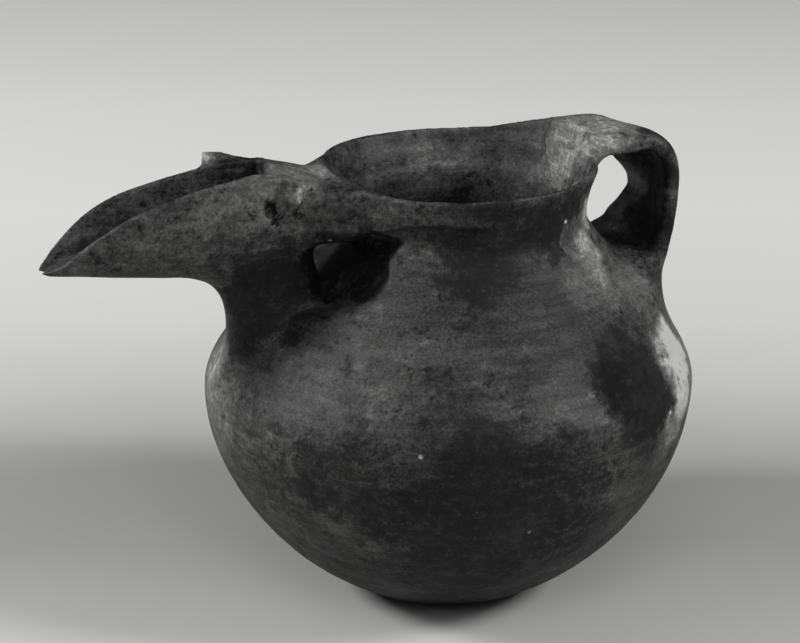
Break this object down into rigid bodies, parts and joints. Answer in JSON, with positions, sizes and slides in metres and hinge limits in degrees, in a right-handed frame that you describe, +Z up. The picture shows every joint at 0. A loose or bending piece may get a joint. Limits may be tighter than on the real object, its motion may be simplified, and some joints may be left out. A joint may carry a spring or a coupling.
{
  "type": "jug",
  "caption": "Round-bellied hand-built pottery jug with a long open beak spout on a throat, a bridge from beak to flared rim and a strap handle opposite",
  "frame": {"origin": "centre of the flattened base, on the surface that the jug stands on", "axes": "+Z up, the spout points along -X and the handle along +X, and the plane y = 0 runs through both"},
  "size_m": [0.2323, 0.1726, 0.1626],
  "materials": {
    "clay": "unglazed reduction-fired grey clay, burnished outside, mottled with smoke-blackened patches"
  },
  "bodies": {
    "root": {"base_slab": "clay", "lower_bowl": "clay", "shoulder": "clay", "neck": "clay", "rim": "clay", "beak_trough": "clay", "spout_throat": "clay", "bridge_strap": "clay", "left_rim_band": "clay", "right_rim_band": "clay", "left_eye_ridge": "clay", "right_eye_ridge": "clay", "right_ear": "clay", "handle_strap": "clay"}
  },
  "joints": []
}
